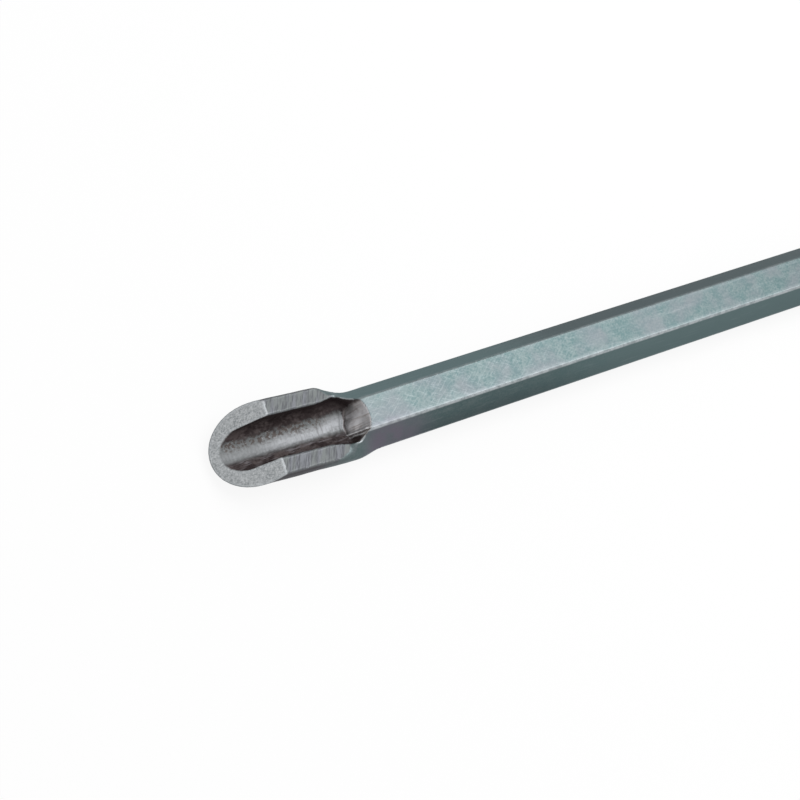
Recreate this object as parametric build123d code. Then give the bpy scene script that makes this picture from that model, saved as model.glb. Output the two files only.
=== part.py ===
from build123d import *
import math
import os

# Gouge chisel for a demolition hammer, forged and ground from one length of hexagon bar.
# Millimetres. The origin is the middle of the struck end, +X runs along the bar
# to the cutting edge, and the trough opens towards +Z.

# Bar
across_flats = 19.0
corner_radius = 1.0
overall_length = 300.0
struck_end_chamfer = 2.0         # length of the turned chamfer, along the bar
struck_end_diameter = 16.5       # of the flat that the hammer strikes

# Outside of the forged gouge, square to its own axis
gouge_length = 46.0              # from its root to the cutting edge
gouge_width = 27.0               # at the height of its axis
belly_depth = 10.7               # from its axis down to the outside of the belly
rim_height = 4.15                # from its axis up to the ground rims
shoulder_rise = 0.6              # forged height above the rims, ground away
shoulder_radius = 1.0
width_gain = 0.5                 # from its root to the cutting edge

# How the gouge sits on the bar, at its root
gouge_lift = 1.2                 # its axis above that of the bar
gouge_set_over = 1.05            # its axis beside that of the bar, towards -Y
gouge_pitch = 3.5                # degrees, rising towards the edge
gouge_yaw = 3.2                  # degrees, turning towards -Y

# Neck, where the hexagon swells into the gouge: first and last place of the swelling,
# along the gouge from its root, on the +Y side (1) and on the -Y side (-1)
waist_swell = {1: (-9.0, 2.0), -1: (-6.0, 12.0)}
shoulder_swell = {1: (-1.5, 6.0), -1: (-2.0, 11.0)}
belly_swell = {1: (0.0, 12.0), -1: (0.0, 12.0)}

# Trough
trough_width = 14.5
trough_bottom_depth = 5.0        # height of the rounded bottom, under the straight walls
trough_floor_at_root = 1.4       # below the axis of the gouge
trough_dive = 9.4                # degrees, how the floor falls away from the rims
trough_flare = 1.4               # how much further out each wall is at the root
trough_flare_length = 12.0       # along the gouge, over which the walls come in again
trough_run_out = 51.3            # from the cutting edge to the end of the trough
ramp_angle = 61.0                # degrees, of the ramp that ends the trough
ramp_round = 10.0                # radius of the ramp, seen from above

# Grinding
bevel_length = 18.0              # along the gouge, from the cutting edge to the rims
rim_start = 3.3                  # where the ground rims begin, from the root
rim_start_angle = 60.0           # degrees, of the step up from there

# Each edge of the bar's outline has one of the gouge's outline to swell into. These are
# the places of the gouge's edges, in degrees below the height of its axis.
side_edge = 4.0                  # from as much above the axis
belly_edges = (55.0, 65.0)       # of the rounding beside the belly
points_on_edge = 5
neck_sections = 15

# Worked out from the sizes above
half_flats = across_flats / 2
bar_corner = half_flats / math.cos(math.radians(30))
half_width = gouge_width / 2
bevel_start = gouge_length - bevel_length
past_edge = gouge_length + half_flats
past_all = 4 * across_flats
swells = [swell for at in (waist_swell, shoulder_swell, belly_swell) for swell in at.values()]
neck_start = min(first for first, last in swells)
neck_end = max(last for first, last in swells)
steps = [step / (points_on_edge - 1) for step in range(points_on_edge)]


def eased(done):
    """Rises gently from 0 to 1 as done does, and stays there before and after."""
    done = min(max(done, 0), 1)
    return done ** 3 * (10 - 15 * done + 6 * done ** 2)


def grown_at(x):
    """Scale of the gouge's section at x from its root: 1 where the bevel starts."""
    return 1 + width_gain / gouge_width * (x - bevel_start) / gouge_length


edge_depth = belly_depth * grown_at(gouge_length)
pitch = math.radians(gouge_pitch)
reach_of_edge = gouge_length * math.cos(pitch) + edge_depth * math.sin(pitch)
root_x = overall_length - reach_of_edge * math.cos(math.radians(gouge_yaw))
on_bar = Pos(root_x, 0, 0)
on_gouge = (
    Pos(root_x, -gouge_set_over, gouge_lift)
    * Rot(0, 0, -gouge_yaw)
    * Rot(0, -gouge_pitch, 0)
)


def bar_edges():
    """The rounded hexagon in Y and Z: each corner, then the flat after it."""
    centre = bar_corner - corner_radius / math.cos(math.radians(30))
    corners = []
    for corner in (60, 0, -60, -120, -180, -240):
        arc = []
        for step in steps:
            turn = math.radians(corner + 30 - 60 * step)
            y = centre * math.cos(math.radians(corner)) + corner_radius * math.cos(turn)
            z = centre * math.sin(math.radians(corner)) + corner_radius * math.sin(turn)
            arc.append((y, z))
        corners.append(arc)
    edges = []
    for arc, following in zip(corners, corners[1:] + corners[:1]):
        (y0, z0), (y1, z1) = arc[-1], following[0]
        edges.append(arc)
        edges.append([(y0 + (y1 - y0) * step, z0 + (z1 - z0) * step) for step in steps])
    return edges


def gouge_arc(first, last, grown):
    """Part of the gouge's outside: round above its axis, elliptical below it."""
    arc = []
    for step in steps:
        angle = math.radians(first + (last - first) * step)
        height = half_width if angle > 0 else belly_depth
        arc.append((grown * half_width * math.cos(angle), grown * height * math.sin(angle)))
    return arc


def gouge_edges(grown):
    """The forged section in Y and Z, with an edge for each one of the hexagon's."""
    top = rim_height + shoulder_rise
    shoulder = math.degrees(math.asin(top / (grown * half_width)))
    below = shoulder - math.degrees(shoulder_radius / half_width)
    side = gouge_arc(below, side_edge, grown)
    corner_y = grown * half_width * math.cos(math.radians(shoulder))
    rounded = []
    for step in steps:
        first, corner, last = (1 - step) ** 2, 2 * step * (1 - step), step ** 2
        y = first * (corner_y - shoulder_radius) + corner * corner_y + last * side[0][0]
        z = first * top + corner * top + last * side[0][1]
        rounded.append((y, z))
    belly_edge, belly_end = belly_edges
    near = [
        rounded,
        side,
        gouge_arc(side_edge, -side_edge, grown),
        gouge_arc(-side_edge, -belly_edge, grown),
        gouge_arc(-belly_edge, -belly_end, grown),
    ]
    bottom = gouge_arc(-belly_end, belly_end - 180, grown)
    far = [[(-y, z) for y, z in reversed(edge)] for edge in reversed(near)]
    crown = [(rounded[0][0] * (2 * step - 1), top) for step in steps]
    return near + [bottom] + far + [crown]


def swelling(x, y, z):
    """How far a point of the hexagon has moved out to the gouge: 0 on the bar, 1 past the neck."""
    side = 1 if y > 0 else -1
    upper = max(z, 0) / half_flats
    lower = max(-z, 0) / half_flats
    waist = 1 - upper - lower
    first, last = (
        waist * at_waist + upper * at_shoulder + lower * at_belly
        for at_waist, at_shoulder, at_belly
        in zip(waist_swell[side], shoulder_swell[side], belly_swell[side])
    )
    return eased((x - first) / (last - first))


def section(x):
    """The closed outline of the forging at x from the gouge's root: corners and flats in turn."""
    edges = []
    for bar_edge, gouge_edge in zip(bar_edges(), gouge_edges(grown_at(x))):
        points = []
        for (bar_y, bar_z), (gouge_y, gouge_z) in zip(bar_edge, gouge_edge):
            bar_point = (on_bar * Pos(x, bar_y, bar_z)).position
            forged_point = (on_gouge * Pos(x, gouge_y, gouge_z)).position
            moved = swelling(x, bar_y, bar_z)
            points.append(bar_point * (1 - moved) + forged_point * moved)
        if x > neck_start:
            edges.append(Spline(*points))
        elif len(edges) % 2 == 0:
            edges.append(ThreePointArc(points[0], points[len(points) // 2], points[-1]))
        else:
            edges.append(Line(points[0], points[-1]))
    return Wire(edges)


def bar():
    """The hexagon bar, with its turned end."""
    length = root_x + neck_start
    blank = extrude(Face(section(neck_start)), length, dir=(-1, 0, 0))
    turned = Polygon(
        (0, 0),
        (0, struck_end_diameter / 2),
        (struck_end_chamfer, bar_corner),
        (struck_end_chamfer, across_flats),
        (length, across_flats),
        (length, 0),
        align=None,
    )
    return blank & revolve(Plane.XZ * turned, Axis.X)


def forging():
    """The neck and the gouge before the trough is pressed and the faces are ground."""
    spacing = (neck_end - neck_start) / (neck_sections - 1)
    neck = Solid.make_loft([section(neck_start + spacing * place) for place in range(neck_sections)])
    blade = Solid.make_loft([section(neck_end), section(past_edge)], ruled=True)
    return neck + blade


def trough_section(x):
    """The outline of the pressed trough at x from the gouge's root, open above the forging."""
    wall = trough_width / 2 + trough_flare * (1 - eased(x / trough_flare_length))
    floor = -trough_floor_at_root - x * math.tan(math.radians(trough_dive))
    wall_foot = floor + trough_bottom_depth
    top = across_flats
    bottom = []
    for place in range(9):
        turn = math.radians(180 * place / 8)
        bottom.append((x, wall * math.cos(turn), wall_foot - trough_bottom_depth * math.sin(turn)))
    outline = [
        Line((x, -wall, top), (x, wall, top)),
        Line((x, wall, top), (x, wall, wall_foot)),
        Spline(*bottom),
        Line((x, -wall, wall_foot), (x, -wall, top)),
    ]
    return Wire(outline)


def trough():
    """What the trough takes out: a channel that falls towards the edge and ends in a ramp."""
    channel = Solid.make_loft([trough_section(trough_flare_length * place / 4) for place in range(5)])
    channel += Solid.make_loft([trough_section(-across_flats), trough_section(0)], ruled=True)
    channel += Solid.make_loft([trough_section(trough_flare_length), trough_section(past_edge)], ruled=True)
    round_x = overall_length - trough_run_out + ramp_round
    seen_from_above = Pos(round_x, 0) * Circle(ramp_round)
    seen_from_above += Pos(round_x + past_all, 0) * Rectangle(2 * past_all, 2 * ramp_round)
    slope = math.radians(ramp_angle)
    down_ramp = Vector(math.cos(slope), 0, -math.sin(slope))
    above = Plane(Vector(0, 0, half_flats) - down_ramp * past_all)
    ramp = extrude(above * seen_from_above, 2 * past_all, dir=down_ramp)
    return on_gouge * channel & ramp


def grinding():
    """What is ground off: all above the rims, and all above the bevel."""
    slope = (rim_height + edge_depth) / bevel_length
    rise = across_flats
    step_back = rise / math.tan(math.radians(rim_start_angle))
    outline = Polygon(
        (past_edge, rim_height - slope * (past_edge - bevel_start)),
        (bevel_start, rim_height),
        (rim_start, rim_height),
        (rim_start - step_back, rim_height + rise),
        (past_edge, rim_height + rise),
        align=None,
    )
    return on_gouge * extrude(Plane.XZ * outline, past_all, both=True)


gouge_chisel = bar() + forging() - trough() - grinding()

os.makedirs("parts", exist_ok=True)
export_step(gouge_chisel, "parts/gouge_chisel.step")
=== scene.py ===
"""The looks of a gouge chisel, forged and ground from hexagon bar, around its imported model."""

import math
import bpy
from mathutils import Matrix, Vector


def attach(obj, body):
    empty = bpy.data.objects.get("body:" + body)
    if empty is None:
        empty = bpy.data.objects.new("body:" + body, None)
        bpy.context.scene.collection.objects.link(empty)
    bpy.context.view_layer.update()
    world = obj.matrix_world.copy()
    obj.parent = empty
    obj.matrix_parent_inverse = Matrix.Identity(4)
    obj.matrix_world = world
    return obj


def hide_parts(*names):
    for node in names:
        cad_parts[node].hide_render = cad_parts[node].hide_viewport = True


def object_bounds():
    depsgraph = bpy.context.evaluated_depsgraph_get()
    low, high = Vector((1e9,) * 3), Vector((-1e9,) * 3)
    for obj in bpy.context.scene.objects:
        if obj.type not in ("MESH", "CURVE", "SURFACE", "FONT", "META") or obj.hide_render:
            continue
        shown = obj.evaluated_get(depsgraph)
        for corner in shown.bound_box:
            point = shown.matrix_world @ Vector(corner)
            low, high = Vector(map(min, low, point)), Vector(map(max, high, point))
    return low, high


bl_info = {
    "name": "Gouge Chisel",
    "version": (1, 0, 0),
    "blender": (4, 5, 0),
    "location": "3D View > Sidebar > Chisel",
    "description": "Forges the chisel from its packed model, gives it its steel and sets its stage",
    "category": "Add Mesh",
}

from functools import partial, reduce

import bmesh
import bpy
import numpy as np
from bpy.props import FloatProperty, FloatVectorProperty, IntProperty, PointerProperty
from mathutils import Matrix, Vector, noise
from mathutils.kdtree import KDTree

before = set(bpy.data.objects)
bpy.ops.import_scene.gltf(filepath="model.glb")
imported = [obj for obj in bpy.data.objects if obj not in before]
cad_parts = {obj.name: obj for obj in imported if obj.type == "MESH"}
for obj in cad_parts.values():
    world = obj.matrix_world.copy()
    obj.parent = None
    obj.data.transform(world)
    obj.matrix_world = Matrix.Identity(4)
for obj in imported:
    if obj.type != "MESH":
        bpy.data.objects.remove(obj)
CAD_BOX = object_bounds()
MM = 0.001
SAME_POINT = MM / 1000
FORGING = "gouge_chisel"
PIECE = "chisel_forging"
HALF_FLATS = 9.5 * MM
CORNER = HALF_FLATS / math.cos(math.radians(30))

# The two ridges beside the ramp: how far they lean outwards for each millimetre of
# height, and the height of the second over that of the first.
RIDGE_LEAN = 0.1
SECOND_RIDGE = 0.6


def length(name, description, millimetres):
    """A length, given in millimetres and kept in metres."""
    return FloatProperty(
        name=name, description=description, default=millimetres * MM, precision=5,
        unit="LENGTH", subtype="DISTANCE",
    )


def angle(name, description, degrees):
    return FloatProperty(
        name=name, description=description, default=math.radians(degrees),
        unit="ROTATION", subtype="ANGLE",
    )


def colour(name, description, linear):
    return FloatVectorProperty(
        name=name, description=description, default=linear, size=3, min=0, max=1,
        subtype="COLOR",
    )


def share(name, description, default):
    return FloatProperty(
        name=name, description=description, default=default, min=0, max=1, subtype="FACTOR"
    )


def vector(name, description, default, subtype="TRANSLATION"):
    return FloatVectorProperty(
        name=name, description=description, default=default, size=3, subtype=subtype
    )


class ChiselGouge(bpy.types.PropertyGroup):
    """Where the gouge lies on the bar, and where its faces are."""

    root: length("Root", "From the struck end to where the gouge begins", 253.5)
    set_over: length("Set over", "The gouge's axis beside the bar's, towards -Y", 1.05)
    lift: length("Lift", "The gouge's axis above the bar's", 1.2)
    pitch: angle("Pitch", "How the gouge rises towards its edge", 3.5)
    yaw: angle("Yaw", "How the gouge turns towards -Y", 3.2)
    half_width: length("Half width", "From the gouge's axis to its side", 13.5)
    rim_height: length("Rim height", "From the gouge's axis up to its ground rims", 4.15)
    rim_start: length("Rim start", "From the root to where the rims begin", 3.3)
    rim_slant: FloatProperty(name="Rim slant", description="How the ground rims' ends slant", default=0.6)
    bevel_start: length("Bevel start", "From the root to where the bevel begins", 28)
    bevel_slope: angle("Bevel slope", "How the bevel falls towards the edge", 39.67)
    wall: length("Wall", "From the trough's middle to its walls", 7.25)
    flare: length("Flare", "How much further out a wall is at the root", 1.4)
    flare_length: length("Flare length", "Over which the walls come in again", 12)
    floor_depth: length("Floor depth", "The trough's floor below the axis, at the root", 1.4)
    floor_dive: angle("Floor dive", "How the floor falls away from the rims", 9.4)
    bottom_depth: length("Bottom depth", "Of the rounding under the straight walls", 5)
    ramp_end: length("Ramp end", "From the struck end to the trough's end", 248.7)
    ramp_slope: angle("Ramp slope", "Of the ramp that ends the trough", 61)
    ramp_round: length("Ramp round", "Radius of the ramp, seen from above", 10)


class ChiselMarks(bpy.types.PropertyGroup):
    """What forging, pressing and grinding left on the surface."""

    wave: length("Wave", "Unevenness of the forged outside", 0.09)
    wave_size: length("Wave size", "Over which the outside rises and falls", 7)
    scale_depth: length("Scale depth", "Unevenness of the scale on the trough's walls", 0.12)
    scale_size: length("Scale size", "Of a flake of scale", 1.6)
    band_far: length("Band, far side", "Edge of the rubbed floor on the -Y side", -4.2)
    band_near: length("Band, near side", "Edge of the rubbed floor on the +Y side", 2.6)
    flattening: length("Flattening", "How far the far side of the ramp's foot is pressed back", 2.6)
    bead: length("Bead", "Height of the bead where floor and ramp meet", 0.25)
    bead_width: length("Bead width", "Of that bead", 0.45)
    ridge: length("Ridge", "Height of the first ridge beside the ramp", 0.5)
    ridge_width: length("Ridge width", "Of both ridges", 0.45)
    first_ridge: length("First ridge", "Its distance from the gouge's middle", 4.75)
    second_ridge: length("Second ridge", "Its distance from the gouge's middle", 5.8)
    pocket: length("Pocket", "Depth of the hollow behind the ridges", 0.6)
    pocket_place: length("Pocket place", "Its distance from the gouge's middle", 7)
    nick: length("Nick", "Depth of the nick where the bevel meets the far rim", 0.7)
    nick_size: length("Nick size", "Of that nick", 0.8)
    seed: IntProperty(name="Seed", description="Of all unevenness", default=7)


class ChiselMesh(bpy.types.PropertyGroup):
    """How finely the piece is made, and its turned end."""

    grain: length("Grain", "Size of the faces on the gouge and neck", 0.3)
    bar_end: length("Bar end", "From the struck end to where the plain bar ends", 238)
    edge_reach: length("Edge reach", "How near to a ground edge a point is moved onto it", 0.5)
    ring_spacing: length("Ring spacing", "Between the rings of faces along the bar", 3)
    chamfer: length("Chamfer", "Of the turned end, along the bar", 2)
    struck_radius: length("Struck radius", "Of the flat that the hammer strikes", 8.25)


class ChiselWearAndHighlights(bpy.types.PropertyGroup):
    """How brightly the edges are worn, and how bright the painted highlights along them are."""

    anywhere: share("Anywhere", "On any edge of the gouge", 0.1)
    neck: share("Neck", "Added towards the bar", 0.5)
    crest: share("Crest", "Added where the bevel meets the rims", 0.5)
    bevel: share("Bevel", "Added round the bevel", 0.25)
    far_mouth: share("Far mouth", "Where the ramp opens, on the -Y side", 0.4)
    burr: share("Burr", "Where the ramp opens, on the +Y side", 0.9)
    burr_top: share("Burr top", "What the burr loses at its upper end", 0.7)
    trough: share("Trough", "On the edges inside the trough", 0.1)
    ramp_foot: share("Ramp foot", "Added where the floor meets the ramp", 0.2)
    # Bar top, bar corner and below top are worn edges and painted highlights along the bar's roundings; far
    # side weakens them on -Y.
    bar_top: share("Bar top", "Where the bar's roundings face up", 0.08)
    bar_corner: share("Bar corner", "Along the middle of the bar's roundings", 0.27)
    below_top: share("Below top", "Along the lower half of the roundings beside the top", 0.7)
    far_side: share("Far side", "What the bar's -Y side shows of all this", 0.25)


class ChiselColours(bpy.types.PropertyGroup):
    """Linear colours of the steel's finishes."""

    skin: colour("Skin", "Forged skin of the bar", (0.061, 0.102, 0.105))
    # Pale skin is also laid as painted light on the bar's near side towards its struck end.
    skin_pale: colour("Pale skin", "Where the skin is rubbed", (0.117, 0.152, 0.154))
    skin_teal: colour("Teal skin", "Greener stretches of the bar's sides", (0.086, 0.15, 0.154))
    # Painted shade on the bar's sides.
    skin_painted_shade: colour("Dark skin", "Darker stretches of the bar's sides", (0.035, 0.05, 0.054))
    skin_rosy: colour("Rosy skin", "Faint patches on the bar's top", (0.128, 0.133, 0.148))
    skin_tinted: colour("Tinted skin", "Where the forging heat ended, at the neck", (0.136, 0.124, 0.156))
    skin_burnt: colour("Burnt skin", "Outside of the gouge, from its heating", (0.062, 0.056, 0.06))
    bevel: colour("Bevel", "Finely ground bevel", (0.46, 0.475, 0.485))
    bevel_dark: colour("Dark bevel", "Grinding marks on the bevel", (0.235, 0.25, 0.258))
    rim: colour("Rim", "Coarsely ground rims", (0.117, 0.122, 0.133))
    rim_dark: colour("Dark rim", "Grinding marks on the rims", (0.082, 0.085, 0.093))
    rim_olive: colour("Olive rim", "Oiled stretches of the rims", (0.111, 0.119, 0.119))
    # The wall colour is also laid into the concave corners as painted shade.
    wall: colour("Wall", "Scale on the trough's walls, and dirt in the corners", (0.03, 0.02, 0.02))
    wall_brown: colour("Brown wall", "Brown flakes of that scale", (0.098, 0.078, 0.076))
    wall_grey: colour("Grey wall", "Streaks along the near wall", (0.17, 0.155, 0.165))
    floor: colour("Floor", "Floor of the trough", (0.133, 0.139, 0.141))
    # Bright floor is also laid as a painted highlight along the floor's middle.
    floor_bright: colour("Bright floor", "Burnished middle of the floor", (0.262, 0.27, 0.283))
    floor_dark: colour("Dark floor", "Marks across the floor", (0.1, 0.098, 0.1))
    floor_brown: colour("Brown floor", "Flecks of scale left on the floor", (0.074, 0.058, 0.053))
    ramp: colour("Ramp", "Scored ramp of the trough", (0.52, 0.515, 0.53))
    ramp_brown: colour("Brown ramp", "Scores and the sides of the ramp", (0.34, 0.315, 0.305))
    # Ridge is a painted highlight on the ridges' backs.
    ridge: colour("Ridge", "Bright backs of the ridges beside the ramp", (0.95, 0.96, 0.98))
    # Worn is also the colour of painted highlights along edges, at the ramp's foot and along the bar's
    # roundings.
    worn: colour("Worn", "Bright worn edges and scratches", (0.5, 0.53, 0.55))
    turned: colour("Turned", "Turned and struck end", (0.3, 0.31, 0.32))
    glancing: colour("Glancing", "How much brighter the steel turns at a glancing angle", (0.6, 0.62, 0.64))


class ChiselStage(bpy.types.PropertyGroup):
    """Camera, floor and light."""

    camera_place: vector("Camera place", "Above and beyond the cutting edge", (0.41897, 0.07733, 0.41985))
    camera_right: vector(
        "Camera right", "Direction to the right of the view", (-0.87157, 0.37495, 0.31588), "DIRECTION"
    )
    camera_back: vector(
        "Camera back", "Direction from the chisel to the camera", (0.4, 0.17127, 0.90037), "DIRECTION"
    )
    lens: FloatProperty(
        name="Lens", description="Focal length on a sensor 36 mm wide", default=62.04, unit="CAMERA"
    )
    floor: colour("Floor", "Pale floor", (0.8, 0.8, 0.8))
    floor_size: length("Floor size", "Of each side of the floor", 8000)
    floor_gap: length("Floor gap", "Between the chisel and the floor", 0.2)
    shadow: share("Shadow", "How much of the floor's shadow shows", 0.13)
    white: FloatProperty(name="White", description="Of the floor, as the camera sees it", default=1.03)
    sky: FloatProperty(name="Sky", description="Strength of the even light", default=0.5)
    lamp: FloatProperty(name="Lamp", description="Power of the soft box", default=9.5, unit="POWER")
    lamp_width: length("Lamp width", "Of the soft box", 900)
    lamp_place: vector("Lamp place", "Of the soft box, above the bar", (-0.32, -0.18, 1.08))
    lamp_aim: vector("Lamp aim", "What the soft box faces", (0.2, 0, 0))


def welded(mesh):
    """The mesh, open for changes, with its faces joined where they meet."""
    bm = bmesh.new()
    bm.from_mesh(mesh)
    bmesh.ops.remove_doubles(bm, verts=bm.verts, dist=SAME_POINT)
    return bm


def cut_along_bar(bm, place):
    """Takes off all of the mesh that is nearer the struck end than place."""
    geometry = bm.verts[:] + bm.edges[:] + bm.faces[:]
    bmesh.ops.bisect_plane(
        bm, geom=geometry, plane_co=(place, 0, 0), plane_no=(1, 0, 0), clear_inner=True
    )


def closed_copy(mesh, place):
    """A copy of the part of the mesh beyond place, closed there."""
    bm = welded(mesh)
    cut_along_bar(bm, place)
    bmesh.ops.contextual_create(bm, geom=[edge for edge in bm.edges if edge.is_boundary])
    bmesh.ops.triangulate(bm, faces=bm.faces)
    closed = bpy.data.meshes.new("closed_forging")
    bm.to_mesh(closed)
    bm.free()
    return closed


def even_mesh(mesh, grain):
    """The same closed shape with small and even faces."""
    true = bpy.data.objects.new("true_forging", mesh)
    even = bpy.data.objects.new("even_forging", mesh)
    for piece in (true, even):
        bpy.context.scene.collection.objects.link(piece)
    remesh = even.modifiers.new("Even faces", "REMESH")
    remesh.mode = "VOXEL"
    remesh.voxel_size = grain
    smooth = even.modifiers.new("Without steps", "SMOOTH")
    smooth.factor = 0.5
    smooth.iterations = 3
    onto = even.modifiers.new("Onto the true shape", "SHRINKWRAP")
    onto.wrap_method = "NEAREST_SURFACEPOINT"
    onto.target = true
    evaluated = even.evaluated_get(bpy.context.evaluated_depsgraph_get())
    made = bpy.data.meshes.new_from_object(evaluated)
    for piece in (true, even):
        bpy.data.objects.remove(piece)
    return made


def ordered_loop(bm):
    """The vertices along the mesh's open end, in turn."""
    neighbours = {}
    for edge in bm.edges:
        if edge.is_boundary:
            for vert in edge.verts:
                neighbours.setdefault(vert, []).append(edge.other_vert(vert))
    start = next(iter(neighbours))
    loop = [start]
    before, here = start, neighbours[start][0]
    while here is not start:
        loop.append(here)
        onward = [vert for vert in neighbours[here] if vert is not before]
        before, here = here, onward[0]
    return loop


def add_rings(bm, loop, rings):
    """Carries the open end on through rings of (place along the bar, largest radius), and closes it."""
    outline = [(vert.co.y, vert.co.z) for vert in loop]
    last = loop
    for place, radius in rings:
        ring = []
        for y, z in outline:
            inward = min(1, radius / math.hypot(y, z))
            ring.append(bm.verts.new((place, y * inward, z * inward)))
        for here in range(len(loop)):
            after = (here + 1) % len(loop)
            bm.faces.new((last[here], last[after], ring[after], ring[here]))
        last = ring
    centre = bm.verts.new((rings[-1][0], 0, 0))
    for here, vert in enumerate(last):
        bm.faces.new((vert, last[(here + 1) % len(loop)], centre))


def turned_radius(sizes, done):
    """Of the turned chamfer, from the struck face at 0 to its end at 1."""
    return sizes.struck_radius + (CORNER - sizes.struck_radius) * done


def bar_rings(sizes):
    """The rings of the plain bar, of its turned chamfer and of the struck face."""
    count = round((sizes.bar_end - 2 * sizes.chamfer) / sizes.ring_spacing)
    places = np.linspace(sizes.bar_end, 2 * sizes.chamfer, count)[1:]
    chamfer_shares = np.linspace(1.2, 0.02, 14)
    face_shares = (0.98, 0.93, 0.8, 0.6, 0.4, 0.2)
    rings = [(place, CORNER) for place in places]
    rings += [(sizes.chamfer * left, turned_radius(sizes, left)) for left in chamfer_shares]
    rings += [(0, sizes.struck_radius * left) for left in face_shares]
    return rings


def read(items, attribute, width, kind=float):
    """An attribute of all items, with a row of its values for each."""
    values = np.zeros(len(items) * width, kind)
    items.foreach_get(attribute, values)
    return values.reshape(-1, width)


def surface(mesh):
    """The place and the normal of each vertex."""
    return read(mesh.vertices, "co", 3), read(mesh.vertex_normals, "vector", 3)


def edge_ends(mesh):
    """The first and the second vertex of each edge."""
    return read(mesh.edges, "vertices", 2, int).T


def write_points(mesh, points):
    mesh.vertices.foreach_set("co", points.ravel())
    mesh.update()


def eased(done):
    """Rises gently from 0 to 1 as done does."""
    done = np.clip(done, 0, 1)
    return done**3 * (10 - 15 * done + 6 * done**2)


def rising(value, low, high):
    """0 up to low, 1 from high on."""
    return eased((value - low) / (high - low))


def bump(value, middle, width):
    """1 at the middle, falling to nothing a few widths away."""
    return np.exp(-(((value - middle) / width) ** 2))


def distance(points, place):
    return np.linalg.norm(points - place, axis=1)


def unevenness(points, size, seed):
    """Noise from -1 to 1 at each point, with lumps of about the given size."""
    shift = Vector((seed * 17.3, seed * 5.9, seed * 11.1))
    return np.array([noise.noise(Vector(point) / size + shift) for point in points])


def two_grains(points, size, finer, strength, seed):
    """Noise with lumps of the given size, and weaker and finer ones laid over them."""
    return unevenness(points, size, seed) + strength * unevenness(points, size / finer, seed + 1)


def convexity(mesh):
    """How sharply the surface turns away at each vertex: above 0 on edges, below 0 in corners."""
    points, normals = surface(mesh)
    first, second = edge_ends(mesh)
    along = points[second] - points[first]
    along /= np.maximum(np.linalg.norm(along, axis=1), 1e-9)[:, None]
    turn, count = np.zeros(len(points)), np.zeros(len(points))
    for here, there, sign in ((first, second, -1), (second, first, 1)):
        np.add.at(turn, here, sign * (normals[here] * along).sum(axis=1))
        np.add.at(count, here, 1)
    turn /= count
    spread, count = turn.copy(), np.ones(len(points))
    for here, there in ((first, second), (second, first)):
        np.add.at(spread, here, turn[there])
        np.add.at(count, here, 1)
    return spread / count


def settle(mesh, points, strength, times):
    """Moves each point towards its neighbours, by its strength and as often as told."""
    first, second = edge_ends(mesh)
    count = np.bincount(np.append(first, second), minlength=len(points))
    for _ in range(times):
        for axis in range(3):
            along = points[:, axis]
            total = np.bincount(first, along[second], len(points))
            total += np.bincount(second, along[first], len(points))
            points[:, axis] += (total / count - along) * strength


def gouge_axes(gouge):
    """From the gouge's own axes, along it, across it and up, to the chisel's."""
    return (
        Matrix.Translation((gouge.root, -gouge.set_over, gouge.lift))
        @ Matrix.Rotation(-gouge.yaw, 4, "Z")
        @ Matrix.Rotation(-gouge.pitch, 4, "Y")
    )


def nick_place(gouge):
    """Where the bevel meets the outer edge of the far rim, in the gouge's own axes."""
    return np.array((gouge.bevel_start, -gouge.half_width, gouge.rim_height))


def ramp_shift(place, flattening):
    """How far the ramp's foot is pressed back on its far side, or forward where below 0."""
    y, z = place.T[1:]
    far_side = bump(y, -5.5 * MM, 3 * MM)
    near_side = rising(y, -1.5 * MM, 2 * MM) * rising(-y, -6.5 * MM, -4 * MM)
    low_down = rising(-z, -6 * MM, 0.5 * MM)
    return flattening * (far_side - 0.35 * near_side) * low_down


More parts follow.
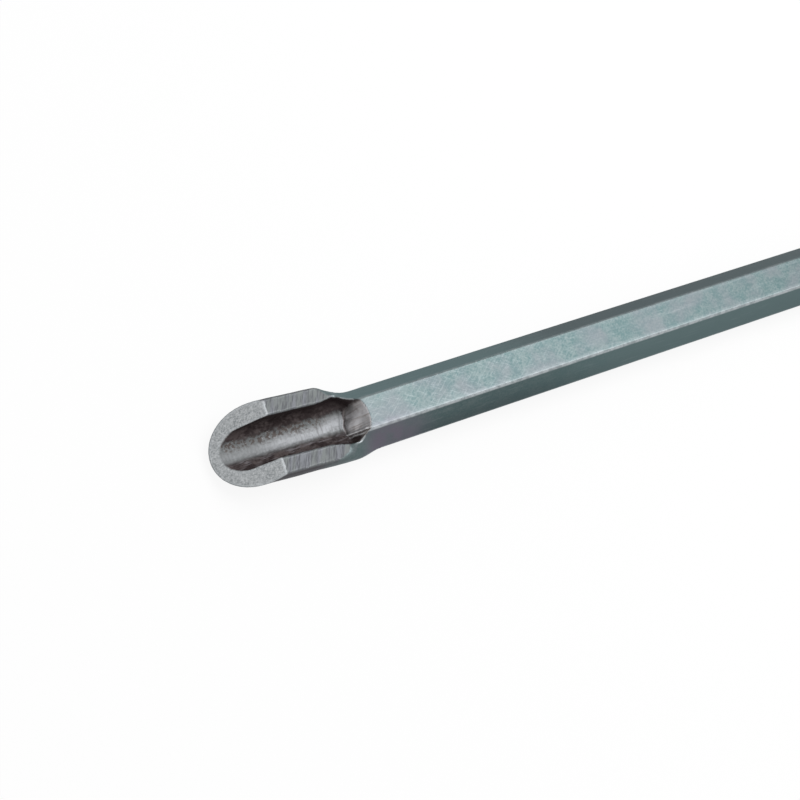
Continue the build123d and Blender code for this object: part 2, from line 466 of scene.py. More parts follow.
class Faces:
    """Tells, for each point of the chisel, how much it lies on each face that it is close to."""

    close = 0.12 * MM
    slant_from = 8.5 * MM
    far_rim_later = 0.9 * MM
    rim_ragged = 0.4 * MM

    def __init__(self, points, gouge, flattening=0):
        to_gouge = np.array(gouge_axes(gouge).inverted())
        self.place = points @ to_gouge[:3, :3].T + to_gouge[:3, 3]
        self.find_trough(points, gouge, flattening)
        self.find_ground(gouge)

    def find_trough(self, points, gouge, flattening):
        """The trough, its ramp, the rubbed band of its floor and the near side of the ramp."""
        x, y, z = self.place.T
        wall = gouge.wall + gouge.flare * (1 - eased(x / gouge.flare_length))
        foot = gouge.bottom_depth - gouge.floor_depth - x * math.tan(gouge.floor_dive)
        rounded = np.hypot(y / wall, (z - foot) / gouge.bottom_depth)
        self.inside = np.where(z < foot, (1 - rounded) * gouge.bottom_depth, wall - np.abs(y))
        shift = ramp_shift(self.place, flattening)
        lean = 1 / math.tan(gouge.ramp_slope)
        before = points[:, 0] - (HALF_FLATS - points[:, 2]) * lean - gouge.ramp_end - gouge.ramp_round
        before += shift
        self.from_ramp = gouge.ramp_round - np.hypot(np.minimum(before, 0), points[:, 1])
        allowed = self.close + 0.15 * np.abs(shift)
        self.trough = rising(np.minimum(self.inside, self.from_ramp), -allowed, -allowed / 5)
        self.ramp = self.trough * rising(-self.from_ramp, -self.close * 3, -self.close)
        self.band = rising(y, -4.5 * MM, -3.7 * MM) * rising(-y, -3.4 * MM, -2.6 * MM)
        forging_top = np.minimum(8.5 * MM, 17.9 * MM - 1.5 * y)
        self.beside_ramp = self.trough * rising(-self.from_ramp, -1.2 * MM, -0.3 * MM)
        self.beside_ramp *= rising(forging_top - z, 0.5 * MM, 2 * MM)

    def find_ground(self, gouge):
        """The bevel and the rims. A rim's outer end slants, and the far rim begins later."""
        x, y, z = self.place.T
        above = z - gouge.rim_height + (x - gouge.bevel_start) * math.tan(gouge.bevel_slope)
        on_bevel = rising(above * math.cos(gouge.bevel_slope), -self.close, -self.close / 4)
        self.bevel = on_bevel * (x > gouge.bevel_start - self.close)
        on_rim = rising(z, gouge.rim_height - self.close, gouge.rim_height - self.close / 4)
        start = gouge.rim_start + gouge.rim_slant * np.maximum(np.abs(y) - self.slant_from, 0)
        start += self.far_rim_later * (y < 0)
        begun = rising(x, start - self.rim_ragged, start + self.rim_ragged)
        self.rim = on_rim * begun * (1 - self.bevel)


def press_ramp(points, faces, gouge, flattening):
    """Presses the foot of the ramp along the gouge, and keeps the floor before it even."""
    along = np.array(gouge_axes(gouge))[:3, 0]
    on_ramp = faces.trough * rising(-faces.from_ramp, -0.5 * MM, -0.1 * MM)
    shift = ramp_shift(faces.place, flattening) * on_ramp
    points -= along * shift[:, None]
    on_floor = bump(faces.inside, 0, 0.8 * MM)
    points[:, 2] += shift * math.tan(gouge.floor_dive) * on_floor


def round_off(mesh, points, faces, gouge):
    """Rounds the steps up to the ground rims, and the tip of the burr beside the ramp."""
    x, y, z = faces.place.T
    at_step = bump(x, gouge.rim_start, 3 * MM) * rising(np.abs(y), 8.9 * MM, 9.6 * MM)
    settle(mesh, points, at_step * rising(z, 2 * MM, 3 * MM), times=60)
    burr_tip = np.array((1.8, 8.8, 6.2)) * MM
    settle(mesh, points, 0.9 * bump(distance(faces.place, burr_tip), 0, 1.6 * MM), times=30)


def press(mesh, gouge, marks):
    """Gives the forging what pressing and grinding did to it, beyond its plain solid."""
    points, normals = surface(mesh)
    faces = Faces(points, gouge)
    press_ramp(points, faces, gouge, marks.flattening)
    from_nick = distance(faces.place, nick_place(gouge))
    points -= normals * (marks.nick * bump(from_nick, 0, marks.nick_size))[:, None]
    round_off(mesh, points, faces, gouge)
    write_points(mesh, points)


def ground_edges(solid, gouge, spacing):
    """Points along the sharp edges of the bevel and of the ground rims, clear of steps and nick."""
    least_turn, past_step, round_nick = math.radians(30), 6 * MM, 1.5 * MM
    points = []
    bm = welded(solid)
    for edge in bm.edges:
        if edge.calc_face_angle(0) > least_turn:
            first, last = (vert.co for vert in edge.verts)
            count = math.ceil(edge.calc_length() / spacing)
            points += [first.lerp(last, step / count) for step in range(count + 1)]
    bm.free()
    points = np.array(points)
    faces = Faces(points, gouge)
    ground = np.maximum(faces.bevel, faces.rim) > 0.9
    clear_of_step = faces.place[:, 0] > gouge.rim_start + past_step
    clear_of_nick = distance(faces.place, nick_place(gouge)) > round_nick
    return points[ground & clear_of_step & clear_of_nick]


def sharpen(mesh, edge_points, reach):
    """Moves each vertex that is within reach of an edge onto it."""
    tree = KDTree(len(edge_points))
    for number, point in enumerate(edge_points):
        tree.insert(point, number)
    tree.balance()
    for vert in mesh.vertices:
        nearest, _, away = tree.find(vert.co)
        if away < reach:
            vert.co = nearest


def forged_end(solid, sizes, gouge, marks):
    """The gouge, the neck and a little of the bar in small faces, pressed and sharply ground."""
    some_bar = 10 * sizes.grain
    mesh = even_mesh(closed_copy(solid, sizes.bar_end - some_bar), sizes.grain)
    press(mesh, gouge, marks)
    mesh = even_mesh(mesh, sizes.grain)
    sharpen(mesh, ground_edges(solid, gouge, sizes.grain), sizes.edge_reach)
    return mesh


def add_bar(mesh, sizes):
    """Clears the mesh of slivers, and adds the plain bar and its turned end."""
    sliver = sizes.grain / 6
    bm = bmesh.new()
    bm.from_mesh(mesh)
    for _ in range(2):
        bmesh.ops.dissolve_degenerate(bm, dist=sliver, edges=bm.edges)
    cut_along_bar(bm, sizes.bar_end)
    at_cut = [vert for vert in bm.verts if vert.co.x < sizes.bar_end + sizes.grain]
    bmesh.ops.remove_doubles(bm, verts=at_cut, dist=sliver)
    add_rings(bm, ordered_loop(bm), bar_rings(sizes))
    bmesh.ops.recalc_face_normals(bm, faces=bm.faces)
    bm.to_mesh(mesh)
    bm.free()


def ridge_lines(faces, marks):
    """The two ridges that run down the near side of the ramp."""
    y, z = faces.place.T[1:]
    first = bump(y, marks.first_ridge + RIDGE_LEAN * z, marks.ridge_width)
    second = bump(y, marks.second_ridge + RIDGE_LEAN * z, marks.ridge_width)
    return (first + SECOND_RIDGE * second) * faces.beside_ramp


def forging_offsets(faces, marks):
    """How far each vertex stands out of the true shape, along its normal."""
    x, y = faces.place.T[:2]
    forged = x > -16 * MM
    place = faces.place[forged]
    waves, flakes = np.zeros(len(x)), np.zeros(len(x))
    waves[forged] = two_grains(place, marks.wave_size, finer=3, strength=0.4, seed=marks.seed)
    flakes[forged] = two_grains(place, marks.scale_size, finer=2, strength=0.5, seed=marks.seed + 2)
    ground = np.maximum(faces.bevel, faces.rim)
    skin = (1 - ground) * (1 - faces.trough) * rising(x, -14 * MM, -4 * MM)
    rubbed_off = 0.7
    scaled = faces.trough * (1 - rubbed_off * faces.band * (1 - faces.ramp)) * (1 - rubbed_off * faces.ramp)
    offsets = marks.wave * waves * skin + marks.scale_depth * flakes * scaled
    offsets += marks.ridge * ridge_lines(faces, marks)
    offsets -= marks.pocket * bump(y, marks.pocket_place, MM) * faces.beside_ramp
    bead = bump(faces.from_ramp, marks.bead_width, marks.bead_width / 2)
    bead += 0.6 * bump(faces.from_ramp, 2.4 * marks.bead_width, marks.bead_width / 2)
    offsets += marks.bead * bead * faces.band * (faces.from_ramp > 0) * faces.trough
    return offsets


def edge_wear_and_highlight_share(faces, gouge, wear):
    """How brightly the edges of the gouge and neck are worn, with painted highlights where the ramp opens,
    most on the burr on the +Y side, and along the ramp's foot.
    """
    x, y, z = faces.place.T
    outside = wear.anywhere + wear.neck * rising(-x, -MM, 3 * MM)
    outside += wear.crest * bump(x, gouge.bevel_start, 0.4 * MM)
    outside += wear.bevel * rising(x, gouge.bevel_start, gouge.bevel_start + MM)
    mouth = bump(np.minimum(faces.inside, faces.from_ramp), 0, 0.8 * MM)
    mouth *= rising(-x, -3 * MM, -MM) * rising(z, 2 * MM, 3 * MM)
    # Where the ramp opens, the wear is also a painted highlight, strongest on the burr.
    sides = np.array((-5, -4, 5.5, 6.5)) * MM
    at_mouth = np.interp(y, sides, (wear.far_mouth, 0, 0, wear.burr))
    at_mouth *= 1 - wear.burr_top * rising(z, 4 * MM, 7.5 * MM) * (y > 0)
    worn = outside + (at_mouth - outside) * mouth
    # Along the ramp's foot the share is a painted highlight.
    in_trough = wear.trough + wear.ramp_foot * faces.band * bump(faces.from_ramp, 0.4 * MM, 0.9 * MM)
    return worn + (in_trough - worn) * faces.trough * (1 - mouth)


def bar_wear_and_highlight(points, normals, wear):
    """How brightly the bar's edges are worn, with a painted highlight along them: most on the lower half of
    the roundings beside the top, and less on the -Y side.
    """
    radius, upward = np.hypot(points[:, 1], points[:, 2]), normals[:, 2]
    on_top = rising(upward, 0.7, 0.9) * rising(radius, 10.1 * MM, 10.6 * MM)
    below_top = rising(-upward, -0.97, -0.8) * rising(points[:, 2], 8.6 * MM, 9.1 * MM)
    corner = rising(radius, 10.6 * MM, 10.76 * MM) * (1 - below_top)
    side = np.where(points[:, 1] > 0, 1, wear.far_side)
    return side * (wear.bar_top * on_top + wear.bar_corner * corner + wear.below_top * below_top)


def turned_share(points, sizes):
    """1 on the turned chamfer and on the struck face."""
    x = points[:, 0]
    radius = np.hypot(points[:, 1], points[:, 2])
    turned_to = turned_radius(sizes, x / sizes.chamfer)
    chamfer = rising(radius, turned_to - 0.15 * MM, turned_to - 0.02 * MM)
    struck = x < 0.05 * MM
    return np.where(struck, 1, chamfer) * (x < 1.1 * sizes.chamfer)


def mark_surface(mesh, scene):
    """Gives the mesh its forging marks, and the values that its finishes go by."""
    gouge, marks, wear = scene.chisel_gouge, scene.chisel_marks, scene.chisel_wear
    points, normals = surface(mesh)
    faces = Faces(points, gouge, marks.flattening)
    write_points(mesh, points + normals * forging_offsets(faces, marks)[:, None])
    edges = convexity(mesh)
    worn = edge_wear_and_highlight_share(faces, gouge, wear) * rising(edges, 0.02, 0.09)
    # On the bar the share is worn edges and a painted highlight along its roundings.
    bar_until = np.where(points[:, 2] > 7 * MM, -1.5 * MM, -9 * MM)
    worn_and_highlit_bar = bar_wear_and_highlight(points, normals, wear) * (1 - faces.trough)
    place = mesh.attributes.new("place", "FLOAT_VECTOR", "POINT")
    place.data.foreach_set("vector", (faces.place / MM).ravel())
    values = {
        "from_ramp": faces.from_ramp / MM,
        "from_floor": faces.inside / MM,
        "trough": faces.trough,
        "ramp": faces.ramp,
        "bevel": faces.bevel,
        "rim": faces.rim,
        "turned": turned_share(points, scene.chisel_mesh),
        "worn": np.where(faces.place[:, 0] < bar_until, worn_and_highlit_bar, worn),
        "corners": np.maximum(-edges, 0),
    }
    for name, value in values.items():
        mesh.attributes.new(name, "FLOAT", "POINT").data.foreach_set("value", value)


class CHISEL_OT_forging(bpy.types.Operator):
    """Makes the chisel's own finely faced piece in place of its plain solid"""

    bl_idname = "chisel.forging"
    bl_label = "Forging"

    def execute(self, context):
        scene = context.scene
        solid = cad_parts[FORGING].data
        mesh = forged_end(solid, scene.chisel_mesh, scene.chisel_gouge, scene.chisel_marks)
        add_bar(mesh, scene.chisel_mesh)
        mesh.name = PIECE
        mark_surface(mesh, scene)
        mesh.shade_smooth()
        piece = bpy.data.objects.new(PIECE, mesh)
        scene.collection.objects.link(piece)
        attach(piece, "root")
        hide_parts(FORGING)
        return {"FINISHED"}


class Nodes:
    """Adds the nodes of one tree and joins them."""

    def __init__(self, tree):
        self.tree = tree

    def add(self, kind, inputs=None, **options):
        node = self.tree.nodes.new("ShaderNode" + kind)
        for name, value in options.items():
            setattr(node, name, value)
        for socket, value in (inputs or {}).items():
            self.feed(node.inputs[socket], value)
        return node

    def feed(self, socket, value):
        if isinstance(value, bpy.types.NodeSocket):
            self.tree.links.new(value, socket)
        elif socket.type == "RGBA" and len(value) == 3:
            socket.default_value = (*value, 1)
        else:
            socket.default_value = value

    def math(self, operation, *values):
        return self.add("Math", dict(enumerate(values)), operation=operation).outputs[0]

    def times(self, *values):
        """The product of the values."""
        return reduce(partial(self.math, "MULTIPLY"), values)

    def plus(self, *values):
        """The sum of the values."""
        return reduce(partial(self.math, "ADD"), values)

    def attribute(self, name, output="Fac"):
        return self.add("Attribute", attribute_name=name).outputs[output]

    def parts(self, vector):
        """The three parts of a vector."""
        return self.add("SeparateXYZ", {0: vector}).outputs[:]

    def stretched(self, place, degrees, stretch):
        """The place turned about the vertical and then stretched along the three axes."""
        turned = self.add("Mapping", {"Vector": place, "Rotation": (0, 0, math.radians(degrees))})
        inputs = {"Vector": turned.outputs[0], "Scale": [1 / s for s in stretch]}
        return self.add("Mapping", inputs).outputs[0]

    def noise(self, place, size, detail=2, seed=0):
        """Noise around 0.5 with lumps of about the given size."""
        moved = self.add("Mapping", {"Vector": place, "Location": (seed * 13.7, seed * 7.1, seed * 3.3)})
        inputs = {"Vector": moved.outputs[0], "Scale": 1 / size, "Detail": detail}
        return self.add("TexNoise", inputs).outputs["Fac"]

    def rising(self, value, low, high):
        """0 up to low, 1 from high on. Where low is above high, it falls instead."""
        inputs = {"Value": value, "From Min": low, "From Max": high}
        return self.add("MapRange", inputs, interpolation_type="SMOOTHSTEP").outputs[0]

    def between(self, share, first, second):
        """A number from first to second."""
        inputs = {"Factor": share, 2: first, 3: second}
        return self.add("Mix", inputs, data_type="FLOAT").outputs[0]

    def blend(self, share, first, second):
        """A colour from first to second."""
        inputs = {"Factor": share, 6: first, 7: second}
        return self.add("Mix", inputs, data_type="RGBA").outputs[2]

    def layered(self, colour, *layers):
        """A colour with others laid over it in turn, each as strongly as the product of its shares."""
        for over, *shares in layers:
            colour = self.blend(self.times(*shares), colour, over)
        return colour


class Finish:
    """One finish of the steel: its colour, metal, roughness and height in millimetres."""

    def __init__(self, colour, metal, roughness, height):
        self.colour = colour
        self.metal = metal
        self.roughness = roughness
        self.height = height

    def under(self, nodes, share, upper):
        """This finish with another laid over the given share of it."""
        return Finish(
            nodes.blend(share, self.colour, upper.colour),
            nodes.between(share, self.metal, upper.metal),
            nodes.between(share, self.roughness, upper.roughness),
            nodes.between(share, self.height, upper.height),
        )


# In all finishes, x, y and z are millimetres along the gouge from its root, across it
# towards +Y and up, and sizes of noise are in millimetres too.


def skin_scratches(nodes, on_bar):
    """Fine scratches that cross each other, from 0 to 2."""
    crossed = []
    for degrees in (32, -38):
        slanted = nodes.stretched(on_bar, degrees, (8 * MM, MM, MM))
        crossed.append(nodes.rising(nodes.noise(slanted, 0.5, detail=3, seed=5), 0.5, 0.7))
    return nodes.plus(*crossed)


def forged_skin(nodes, place, colours):
    """Dark scale skin: mottled, rosy and scratched on top, with painted shade on the sides and painted
    light on the near side towards the struck end, tinted at the neck.
    """
    on_bar = nodes.add("TexCoord").outputs["Object"]
    x, y = nodes.parts(place)[:2]
    sideways, upward = nodes.parts(nodes.add("NewGeometry").outputs["True Normal"])[1:]
    upper = nodes.rising(upward, 0.7, 0.9)
    near_side = nodes.rising(sideways, 0.5, 0.8)
    far_side = nodes.rising(sideways, -0.5, -0.8)

    mottle = nodes.noise(place, 4.5, detail=4)
    grain = nodes.noise(place, 0.8, detail=3, seed=3)
    mottled = nodes.times(nodes.rising(nodes.plus(mottle, grain), 0.73, 1.3), nodes.between(upper, 0.55, 1))
    neck = nodes.times(nodes.rising(x, -34, -6), 0.5)
    # Painted light: lit makes the near side paler towards the struck end, added to the rubbed mottling, the
    # paler neck and the slightly paler sides.
    lit = nodes.times(near_side, nodes.rising(x, -70, -120), 0.9)
    rubbed_and_lit = nodes.plus(mottled, neck, lit, nodes.between(upper, 0.11, 0.03))

    patches = nodes.rising(nodes.noise(place, 9, seed=13), 0.35, 0.75)
    low = nodes.rising(nodes.parts(on_bar)[2], 7.5 * MM, 0.5 * MM)
    shaded = nodes.between(nodes.rising(x, -130, -50), 0.12, 0.5)
    scratches = nodes.noise(nodes.stretched(on_bar, 0, (16 * MM, MM, MM)), 0.7, detail=3, seed=4)
    towards_neck = nodes.between(nodes.rising(x, -110, -40), 0.025, 0.085)
    at_neck = nodes.times(nodes.rising(x, -32, -12), nodes.rising(x, 2, -8), nodes.rising(y, 2, 9))
    broken = nodes.between(nodes.rising(nodes.noise(place, 5, seed=5), 0.25, 0.6), 0.5, 1)
    skin = nodes.layered(
        colours.skin,
        (colours.skin_pale, rubbed_and_lit),
        (colours.skin_rosy, patches, upper, 0.55),
        # Painted shade: the far side darker away from the neck, and the near side darker towards its lower
        # edge, most towards the neck.
        (colours.skin_painted_shade, far_side, nodes.rising(x, -40, -90), 0.5),
        (colours.skin_teal, far_side, nodes.rising(x, -90, -45), 0.7),
        (colours.skin_teal, near_side, nodes.rising(x, -50, -100), 0.5),
        (colours.skin_painted_shade, near_side, nodes.rising(x, -5, -20), low, shaded),
        (colours.worn, nodes.rising(scratches, 0.55, 0.75), 0.05),
        (colours.worn, skin_scratches(nodes, on_bar), upper, towards_neck),
        (colours.skin_tinted, at_neck, broken),
        (colours.skin_burnt, nodes.rising(nodes.plus(nodes.times(mottle, 12), x), 11, 23)),
    )
    height = nodes.times(nodes.plus(grain, scratches), 0.012)
    return Finish(skin, metal=0.85, roughness=nodes.between(mottle, 0.36, 0.46), height=height)


def ground_bevel(nodes, place, colours):
    """Fine grinding marks that cross each other."""
    first = nodes.noise(nodes.stretched(place, 10, (14, 1, 1)), 0.5, detail=3)
    second = nodes.noise(nodes.stretched(place, -40, (9, 1, 1)), 0.42, detail=3, seed=1)
    marks = nodes.plus(nodes.rising(first, 0.36, 0.64), nodes.times(nodes.rising(second, 0.38, 0.62), 0.8))
    dark = nodes.times(marks, nodes.between(nodes.noise(place, 4, seed=2), 0.35, 0.75))
    steel = nodes.layered(colours.bevel, (colours.bevel_dark, dark))
    rough = nodes.between(dark, 0.4, 0.5)
    return Finish(steel, metal=1.0, roughness=rough, height=nodes.times(marks, 0.01))


def ground_rim(nodes, place, colours):
    """Coarse grinding marks across the rims, with bluish and olive stretches."""
    across = nodes.stretched(place, -66.5, (9, 1, 1))
    marks = nodes.noise(across, 0.36, detail=3)
    broad = nodes.noise(across, 2.4, detail=1, seed=1)
    dark = nodes.rising(marks, 0.42, 0.72)
    steel = nodes.layered(
        colours.rim, (colours.rim_olive, nodes.rising(broad, 0.42, 0.58)), (colours.rim_dark, dark)
    )
    rough = nodes.between(dark, 0.5, 0.6)
    return Finish(steel, metal=0.9, roughness=rough, height=nodes.times(marks, 0.03))


def trough_scale(nodes, place, colours):
    """Flaking scale on the walls: black under the rims, brown and streaked further down, and lightened high
    on the near wall as painted light.
    """
    x, y, z = nodes.parts(place)
    flakes = nodes.noise(place, 1.3, detail=4)
    patches = nodes.noise(place, 3.5, seed=1)
    streaks = nodes.noise(nodes.stretched(place, 0, (9, 1, 1)), 0.8, detail=4, seed=2)
    cut_by_bevel = nodes.times(nodes.math("MAXIMUM", nodes.plus(x, -28), 0), 0.55)
    low = nodes.rising(nodes.plus(z, cut_by_bevel), 3, -4)
    steel = nodes.layered(
        colours.wall,
        (colours.wall_brown, nodes.rising(nodes.plus(flakes, patches), 0.85, 1.2), low),
        (colours.wall_grey, nodes.rising(streaks, 0.5, 0.68), nodes.rising(y, 1.5, 3.5), low),
        # Painted light: the upper near wall beside the ramp, a hollow the lamp barely reaches, lightened
        # with the ramp's brown.
        (colours.ramp_brown, nodes.rising(y, 5.5, 6.5), nodes.rising(z, 3.5, 6.5), 0.8),
    )
    rough = nodes.between(flakes, 0.45, 0.7)
    return Finish(steel, metal=0.3, roughness=rough, height=nodes.times(flakes, 0.12))


def rubbed_floor(nodes, place, colours):
    """Rubbed by chips and bright along the middle, partly burnished and partly a painted highlight, with
    marks across it, flecks of scale and a painted highlight along the ramp's foot.
    """
    x, y = nodes.parts(place)[:2]
    marks = nodes.noise(nodes.stretched(place, 90, (10, 1, 1)), 0.8, detail=3)
    streaks = nodes.noise(nodes.stretched(place, 0, (8, 1, 1)), 0.9, detail=3, seed=1)
    flecks = nodes.noise(place, 0.8, detail=4, seed=2)
    coarse = nodes.noise(place, 1.1, detail=4, seed=3)
    uneven = nodes.times(nodes.plus(streaks, flecks, -1), 2.5)
    wider_at_ramp = nodes.times(nodes.rising(x, 11, 4), 1.2)
    side = nodes.plus(y, wider_at_ramp, uneven)

    # The bright middle is burnishing and a painted highlight of the floor's curve, fading towards the
    # mouth.
    middle = nodes.times(nodes.rising(side, -2.8, 0.8), nodes.rising(side, 3.8, 1.2))
    fading = nodes.between(nodes.rising(x, 20, 34), 1, 0.3)
    scaled = nodes.times(nodes.rising(side, -0.2, -2.4), nodes.rising(x, 3, 12))
    steel = nodes.layered(
        colours.floor,
        (colours.floor_bright, middle, fading),
        (colours.floor_dark, nodes.rising(marks, 0.48, 0.7), nodes.rising(x, 22, 12), 0.45),
        (colours.floor_brown, nodes.rising(coarse, 0.47, 0.55), scaled, 0.8),
        (colours.floor_bright, nodes.rising(flecks, 0.6, 0.68), scaled, 0.6),
        # Painted highlight along the ramp's foot.
        (colours.worn, nodes.rising(nodes.attribute("from_ramp"), 0.9, 0.3), 0.12),
    )
    height = nodes.times(nodes.plus(marks, flecks), 0.04)
    return Finish(steel, metal=0.9, roughness=nodes.between(streaks, 0.4, 0.55), height=height)


def scored_ramp(nodes, place, colours):
    """Scores down the ramp, browner towards its sides, and brown scale with painted shade along its foot.
    """
    y = nodes.parts(place)[1]
    scores = nodes.noise(nodes.stretched(place, 0, (14, 1, 14)), 0.6, detail=4)
    cloud = nodes.noise(place, 2, detail=3, seed=1)
    from_middle = nodes.math("ABSOLUTE", nodes.plus(y, -2))
    beside = nodes.times(nodes.rising(from_middle, 1.5, 7), 0.65)
    clouded = nodes.times(nodes.rising(cloud, 0.5, 0.8), 0.5)
    from_floor = nodes.plus(nodes.times(cloud, 2), nodes.attribute("from_floor"))
    steel = nodes.layered(
        colours.ramp,
        (colours.ramp_brown, nodes.plus(nodes.rising(scores, 0.45, 0.75), beside, clouded)),
        # Brown along the ramp's foot: scale, and painted shade.
        (colours.wall_brown, nodes.rising(from_floor, 2.4, 1.2), 0.7),
    )
    rough = nodes.between(scores, 0.4, 0.55)
    return Finish(steel, metal=0.85, roughness=rough, height=nodes.times(scores, 0.06))


def turned_end(nodes, colours):
    """Fine turning marks round the bar's axis, dulled where the hammer strikes."""
    on_bar = nodes.add("TexCoord").outputs["Object"]
    along, across, up = nodes.parts(on_bar)
    radius = nodes.math("SQRT", nodes.plus(nodes.times(across, across), nodes.times(up, up)))
    round_axis = nodes.add("CombineXYZ", {0: along, 1: radius}).outputs[0]
    marks = nodes.noise(round_axis, 0.35 * MM, detail=3)
    cloud = nodes.noise(on_bar, 6 * MM, detail=3, seed=1)
    steel = nodes.layered(colours.turned, (colours.skin_pale, nodes.plus(cloud, marks), 0.4))
    rough = nodes.between(marks, 0.35, 0.5)
    return Finish(steel, metal=0.95, roughness=rough, height=nodes.times(marks, 0.02))


def band_share(nodes, place, marks):
    """The rubbed band of the trough's floor, most ragged along its far edge."""
    x, y = nodes.parts(place)[:2]
    far, near = marks.band_far / MM, marks.band_near / MM
    ragged = nodes.plus(nodes.noise(place, 1.8, detail=4, seed=6), -0.5)
    from_far = nodes.rising(nodes.plus(y, nodes.times(ragged, 3)), far - 0.6, far + 0.8)
    from_near = nodes.rising(nodes.plus(y, nodes.times(ragged, 1.2)), near + 1.5, near - 0.8)
    return nodes.times(from_far, from_near, nodes.rising(x, 0.5, 1))


def ramp_share(nodes, place):
    """The scored part of the ramp, clear of the scale on both walls."""
    ragged = nodes.plus(nodes.noise(place, 1.2, detail=4, seed=7), -0.5)
    side = nodes.plus(nodes.parts(place)[1], nodes.times(ragged, 1.5))
    return nodes.times(nodes.rising(side, -4.8, -3.2), nodes.rising(side, 6.2, 4.8))


def ridge_highlight_share(nodes, place, marks):
    """Where the painted highlights lie on the backs of the ridges beside the ramp."""
    y, z = nodes.parts(place)[1:]
    ragged = nodes.times(nodes.noise(place, 1.5, seed=9), 0.5)
    side = nodes.plus(y, nodes.times(z, -RIDGE_LEAN), ragged)
    lines = []
    for ridge in (marks.first_ridge, marks.second_ridge):
        off = nodes.math("ABSOLUTE", nodes.plus(side, -ridge / MM - 0.25))
        lines.append(nodes.rising(off, 0.32, 0.1))
    both = nodes.math("MINIMUM", nodes.plus(lines[0], nodes.times(lines[1], SECOND_RIDGE)), 1)
    patchy = nodes.between(nodes.rising(nodes.noise(place, 1.2, seed=4), 0.35, 0.6), 0.4, 1)
    return nodes.times(both, patchy)


def wear_and_highlight_share(nodes, place):
    """The worn edges and the painted highlights along edges, in patches."""
    patchy = nodes.between(nodes.rising(nodes.noise(place, 2, detail=3, seed=8), 0.35, 0.6), 0.6, 1.1)
    return nodes.times(nodes.attribute("worn"), patchy)


def steel_material(colours, marks):
    """All finishes of the chisel in one material, each where its face is, with painted shade in its concave
    corners.
    """
    material = bpy.data.materials.new("forged_and_ground_steel")
    material.use_nodes = True
    nodes = Nodes(material.node_tree)
    place, trough = nodes.attribute("place", "Vector"), nodes.attribute("trough")
    ramp, rim = nodes.attribute("ramp"), nodes.attribute("rim")
    # Painted highlight: near white on the ridges' backs.
    ridge_highlights = Finish(colours.ridge, metal=1.0, roughness=0.4, height=0.05)
    worn_and_highlit_edges = Finish(colours.worn, metal=1.0, roughness=0.5, height=0.02)
    layers = (
        (trough, trough_scale(nodes, place, colours)),
        (nodes.times(band_share(nodes, place, marks), trough), rubbed_floor(nodes, place, colours)),
        (nodes.times(ramp, ramp_share(nodes, place)), scored_ramp(nodes, place, colours)),
        (nodes.times(ramp, ridge_highlight_share(nodes, place, marks), 0.65), ridge_highlights),
        (rim, ground_rim(nodes, place, colours)),
        (nodes.attribute("bevel"), ground_bevel(nodes, place, colours)),
        (nodes.attribute("turned"), turned_end(nodes, colours)),
        (wear_and_highlight_share(nodes, place), worn_and_highlit_edges),
    )
    finish = forged_skin(nodes, place, colours)
    for where, upper in layers:
        finish = finish.under(nodes, where, upper)
    # Painted shade: the wall colour darkens the concave corners.
    painted_corner_shade = nodes.rising(nodes.attribute("corners"), 0.05, 0.3)
    bumps = nodes.add("Bump", {"Height": finish.height, "Distance": MM})
    shader = material.node_tree.nodes["Principled BSDF"].inputs
    nodes.feed(shader["Base Color"], nodes.layered(finish.colour, (colours.wall, painted_corner_shade, 0.6)))
    nodes.feed(shader["Metallic"], finish.metal)
    nodes.feed(shader["Roughness"], finish.roughness)
    nodes.feed(shader["Normal"], bumps.outputs[0])
    nodes.feed(shader["Specular Tint"], colours.glancing)
    return material


class CHISEL_OT_steel(bpy.types.Operator):
    """Gives the forging its steel, with the finish of each of its faces"""

    bl_idname = "chisel.steel"
    bl_label = "Steel"

    def execute(self, context):
        scene = context.scene
        materials = bpy.data.objects[PIECE].data.materials
        materials.clear()
        materials.append(steel_material(scene.chisel_colours, scene.chisel_marks))
        return {"FINISHED"}


class CHISEL_OT_stage(bpy.types.Operator):
    """Sets the camera, the floor and the light"""

    bl_idname = "chisel.stage"
    bl_label = "Stage"

    def execute(self, context):
        scene = context.scene
        scene.view_settings.view_transform = "Standard"
        set_camera(scene, scene.chisel_stage)
        set_floor(scene.chisel_stage)
        set_sky(scene, scene.chisel_stage)
        set_lamp(scene, scene.chisel_stage)
        return {"FINISHED"}


def set_camera(scene, stage):
    data = bpy.data.cameras.new("camera")
    data.sensor_width = 36
    data.lens = stage.lens
    data.clip_start = 0.01
    camera = bpy.data.objects.new("camera", data)
    scene.collection.objects.link(camera)
    back = Vector(stage.camera_back).normalized()
    right = Vector(stage.camera_right).normalized()
    turn = Matrix((right, back.cross(right), back)).transposed()
    camera.matrix_world = Matrix.Translation(stage.camera_place) @ turn.to_4x4()
    scene.camera = camera


def seen_straight(nodes):
    """1 for what the camera sees, and what metal and glass show of it."""
    path = nodes.add("LightPath")
    seen = nodes.math("MAXIMUM", path.outputs["Is Camera Ray"], path.outputs["Is Glossy Ray"])
    return nodes.math("MAXIMUM", seen, path.outputs["Is Transmission Ray"])


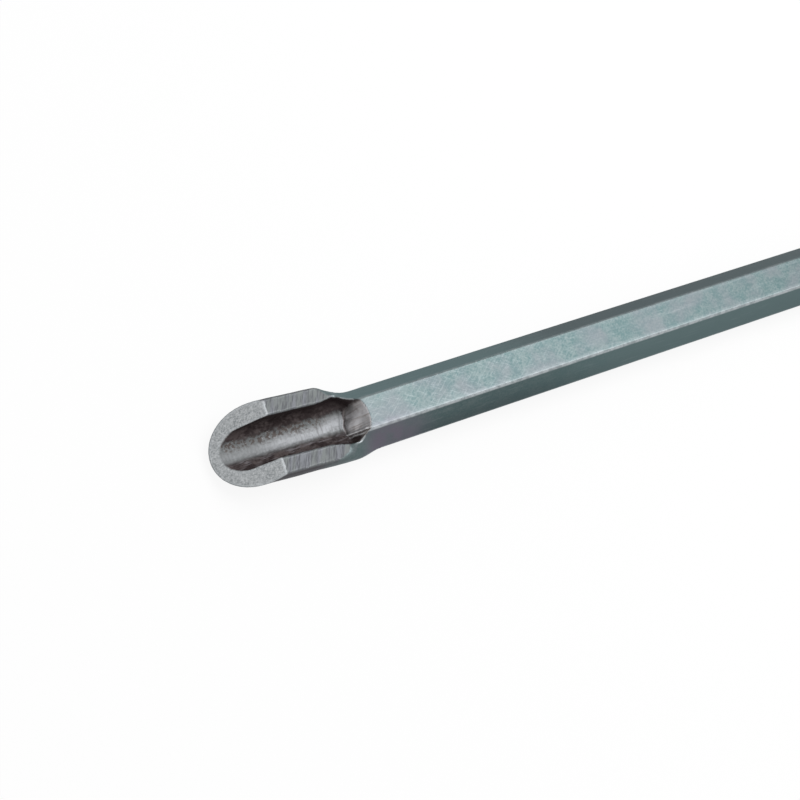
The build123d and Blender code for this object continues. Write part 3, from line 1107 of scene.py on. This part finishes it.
def set_floor(stage):
    """A pale floor, white to the camera but for a little of its shadow."""
    low, high = CAD_BOX
    middle = ((low.x + high.x) / 2, 0, low.z - stage.floor_gap)
    bpy.ops.mesh.primitive_plane_add(size=stage.floor_size, location=middle)
    floor = bpy.context.object
    floor.name = "floor"
    material = bpy.data.materials.new("pale_floor")
    material.use_nodes = True
    nodes = Nodes(material.node_tree)
    plain = nodes.add("BsdfDiffuse", {"Color": stage.floor})
    white = nodes.add("Emission", {"Color": (1, 1, 1), "Strength": stage.white})
    shaded = nodes.add("MixShader", {0: stage.shadow, 1: white.outputs[0], 2: plain.outputs[0]})
    mixed = nodes.add("MixShader", {0: seen_straight(nodes), 1: plain.outputs[0], 2: shaded.outputs[0]})
    output = material.node_tree.nodes["Material Output"]
    nodes.feed(output.inputs["Surface"], mixed.outputs[0])
    floor.data.materials.append(material)


def set_sky(scene, stage):
    """Even light, behind a white background."""
    world = bpy.data.worlds.new("sky")
    scene.world = world
    world.use_nodes = True
    nodes = Nodes(world.node_tree)
    background = world.node_tree.nodes["Background"].inputs
    nodes.feed(background["Color"], (1, 1, 1))
    nodes.feed(background["Strength"], nodes.between(seen_straight(nodes), stage.sky, 1.0))


def set_lamp(scene, stage):
    """A square soft box that faces the bar."""
    data = bpy.data.lights.new("soft_box", "AREA")
    data.shape = "SQUARE"
    data.size = stage.lamp_width
    data.energy = stage.lamp
    lamp = bpy.data.objects.new("soft_box", data)
    scene.collection.objects.link(lamp)
    place = Vector(stage.lamp_place)
    lamp.location = place
    lamp.rotation_euler = (Vector(stage.lamp_aim) - place).to_track_quat("-Z", "Y").to_euler()


class CHISEL_PT_panel(bpy.types.Panel):
    """Lists the piece, its steel and the stage"""

    bl_idname = "CHISEL_PT_panel"
    bl_label = "Gouge Chisel"
    bl_space_type = "VIEW_3D"
    bl_region_type = "UI"
    bl_category = "Chisel"

    def draw(self, context):
        for operator in OPERATORS:
            self.layout.operator(operator.bl_idname)


GROUPS = {
    "chisel_gouge": ChiselGouge,
    "chisel_marks": ChiselMarks,
    "chisel_mesh": ChiselMesh,
    "chisel_wear": ChiselWearAndHighlights,
    "chisel_colours": ChiselColours,
    "chisel_stage": ChiselStage,
}
OPERATORS = (CHISEL_OT_forging, CHISEL_OT_steel, CHISEL_OT_stage)


def register():
    for name, group in GROUPS.items():
        bpy.utils.register_class(group)
        setattr(bpy.types.Scene, name, PointerProperty(type=group))
    for operator in OPERATORS:
        bpy.utils.register_class(operator)
    bpy.utils.register_class(CHISEL_PT_panel)


def unregister():
    bpy.utils.unregister_class(CHISEL_PT_panel)
    for operator in reversed(OPERATORS):
        bpy.utils.unregister_class(operator)
    for name, group in reversed(GROUPS.items()):
        delattr(bpy.types.Scene, name)
        bpy.utils.unregister_class(group)


def main():
    register()
    bpy.ops.chisel.forging()
    bpy.ops.chisel.steel()
    bpy.ops.chisel.stage()


if __name__ == "__main__":
    main()
